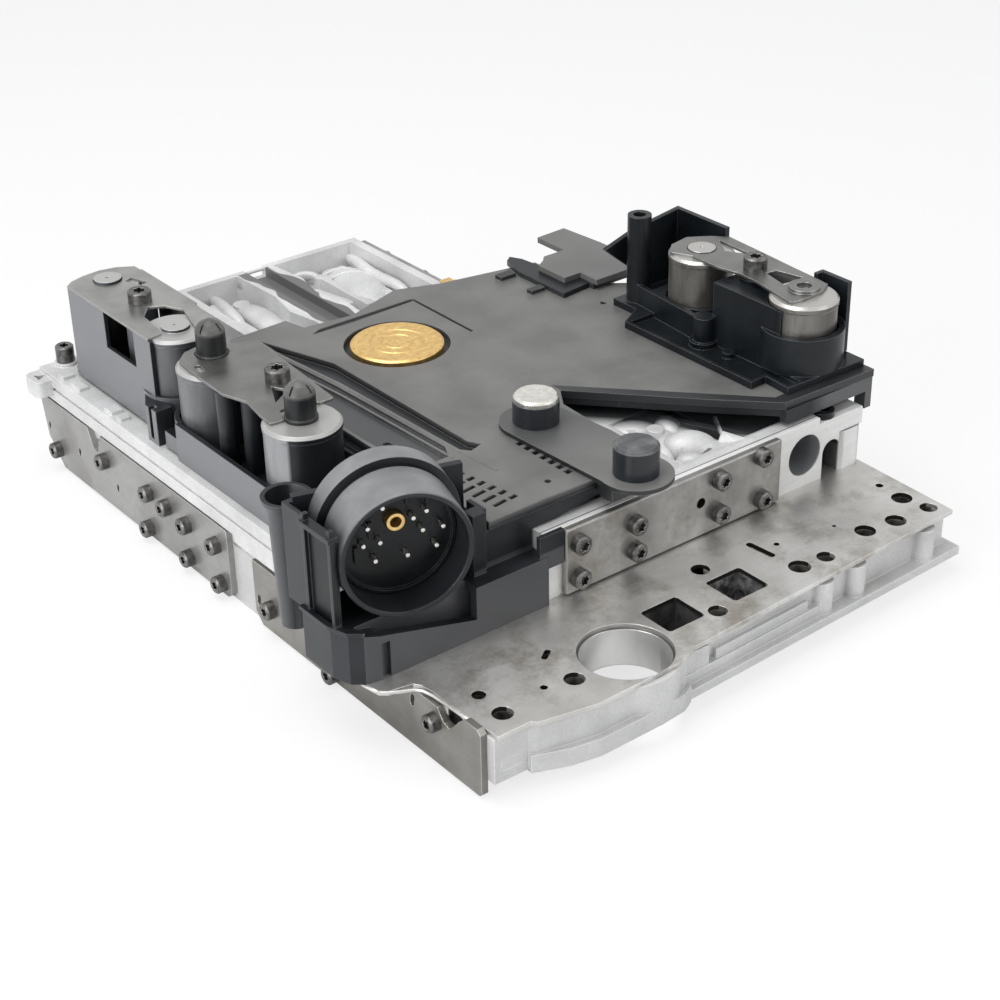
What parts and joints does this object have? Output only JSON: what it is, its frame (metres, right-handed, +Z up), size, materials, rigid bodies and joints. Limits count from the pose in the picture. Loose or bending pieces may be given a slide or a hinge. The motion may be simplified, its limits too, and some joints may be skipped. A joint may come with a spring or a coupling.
{
  "type": "transmission valve body",
  "caption": "Two cast valve housings round a steel separator plate, with cover plates, spool valves, and a conductor plate that carries a round connector, sensors and solenoids.",
  "frame": {"origin": "centre of the filter neck bore on the joint face of the lower casting", "axes": "+X right along the front face, +Y away from the front towards the rear tray, +Z up from the lower casting to the solenoids"},
  "size_m": [0.2869, 0.3617, 0.1185],
  "materials": {
    "cast_alloy": "sand cast, with machined faces",
    "ground_steel": "ground flat, faint stains",
    "screw_steel": "dark oiled steel",
    "leaf_steel": "satin spring steel",
    "bright_steel": "bright turned steel",
    "can_steel": "dark lacquered can with a bright rim",
    "black_moulding": "moulded, slightly glossy",
    "grey_moulding": "moulded, satin",
    "satin_moulding": "satin moulding",
    "gold_disc": "satin gold coloured metal",
    "pin_metal": "plated contacts",
    "seal_rubber": "black seal",
    "spring_steel": "drawn wire",
    "spool_alloy": "anodised spool"
  },
  "bodies": {
    "valve_block": {"separator_plate": "ground_steel", "lower_valve_housing": "cast_alloy", "upper_valve_housing": "cast_alloy", "front_cover_plate": "ground_steel", "left_cover_plate": "ground_steel", "lower_left_cover_plate": "ground_steel", "rear_cover_plate": "ground_steel", "front_cover_screws": "screw_steel", "left_cover_screws": "screw_steel", "lower_left_cover_screws": "screw_steel", "rear_cover_screws": "screw_steel", "housing_bolt": "screw_steel", "conductor_frame": "black_moulding", "conductor_lid": "satin_moulding", "sealing_disc": "gold_disc", "contact_tab": "gold_disc", "connector_shell": "black_moulding", "connector_insert": "black_moulding", "connector_pins": "pin_metal", "connector_bush": "gold_disc", "sensor_arm": "satin_moulding", "sensor_heads": "black_moulding", "sensor_cap": "bright_steel", "position_sensor_base": "black_moulding", "position_sensor_cover": "satin_moulding", "right_carrier": "black_moulding", "rear_carrier": "grey_moulding", "rear_solenoid_1": "can_steel", "rear_solenoid_2": "can_steel", "front_solenoid_1": "can_steel", "front_solenoid_2": "can_steel", "right_solenoid_1": "can_steel", "right_solenoid_2": "can_steel", "front_retainer": "leaf_steel", "rear_retainer": "leaf_steel", "right_retainer": "leaf_steel", "retainer_screws": "screw_steel", "front_solenoid_plug_1": "black_moulding", "front_solenoid_plug_2": "black_moulding", "end_seal_ring": "seal_rubber", "front_valve_spring_1": "spring_steel", "front_valve_spring_2": "spring_steel", "front_valve_spring_3": "spring_steel", "front_valve_spring_4": "spring_steel", "side_valve_spring_1": "spring_steel", "side_valve_spring_2": "spring_steel", "side_valve_spring_3": "spring_steel", "side_valve_spring_4": "spring_steel"},
    "front_spool_1": {"front_valve_1": "spool_alloy"},
    "front_spool_2": {"front_valve_2": "spool_alloy"},
    "front_spool_3": {"front_valve_3": "spool_alloy"},
    "front_spool_4": {"front_valve_4": "spool_alloy"},
    "side_spool_1": {"side_valve_1": "spool_alloy"},
    "side_spool_2": {"side_valve_2": "spool_alloy"},
    "side_spool_3": {"side_valve_3": "spool_alloy"},
    "side_spool_4": {"side_valve_4": "spool_alloy"}
  },
  "joints": [
    {"name": "front_spool_slide_1", "type": "slide", "parent": "valve_block", "child": "front_spool_1", "axis": [0, 1, 0], "range_m": [0, 0.008], "stiffness_N_per_m": 500, "springref_m": -0.004, "deforming": ["front_valve_spring_1"]},
    {"name": "front_spool_slide_2", "type": "slide", "parent": "valve_block", "child": "front_spool_2", "axis": [0, 1, 0], "range_m": [0, 0.008], "stiffness_N_per_m": 500, "springref_m": -0.004, "deforming": ["front_valve_spring_2"]},
    {"name": "front_spool_slide_3", "type": "slide", "parent": "valve_block", "child": "front_spool_3", "axis": [0, 1, 0], "range_m": [0, 0.008], "stiffness_N_per_m": 500, "springref_m": -0.004, "deforming": ["front_valve_spring_3"]},
    {"name": "front_spool_slide_4", "type": "slide", "parent": "valve_block", "child": "front_spool_4", "axis": [0, 1, 0], "range_m": [0, 0.008], "stiffness_N_per_m": 500, "springref_m": -0.004, "deforming": ["front_valve_spring_4"]},
    {"name": "side_spool_slide_1", "type": "slide", "parent": "valve_block", "child": "side_spool_1", "axis": [1, 0, 0], "range_m": [0, 0.008], "stiffness_N_per_m": 500, "springref_m": -0.004, "deforming": ["side_valve_spring_1"]},
    {"name": "side_spool_slide_2", "type": "slide", "parent": "valve_block", "child": "side_spool_2", "axis": [1, 0, 0], "range_m": [0, 0.008], "stiffness_N_per_m": 500, "springref_m": -0.004, "deforming": ["side_valve_spring_2"]},
    {"name": "side_spool_slide_3", "type": "slide", "parent": "valve_block", "child": "side_spool_3", "axis": [1, 0, 0], "range_m": [0, 0.008], "stiffness_N_per_m": 500, "springref_m": -0.004, "deforming": ["side_valve_spring_3"]},
    {"name": "side_spool_slide_4", "type": "slide", "parent": "valve_block", "child": "side_spool_4", "axis": [1, 0, 0], "range_m": [0, 0.008], "stiffness_N_per_m": 500, "springref_m": -0.004, "deforming": ["side_valve_spring_4"]}
  ]
}
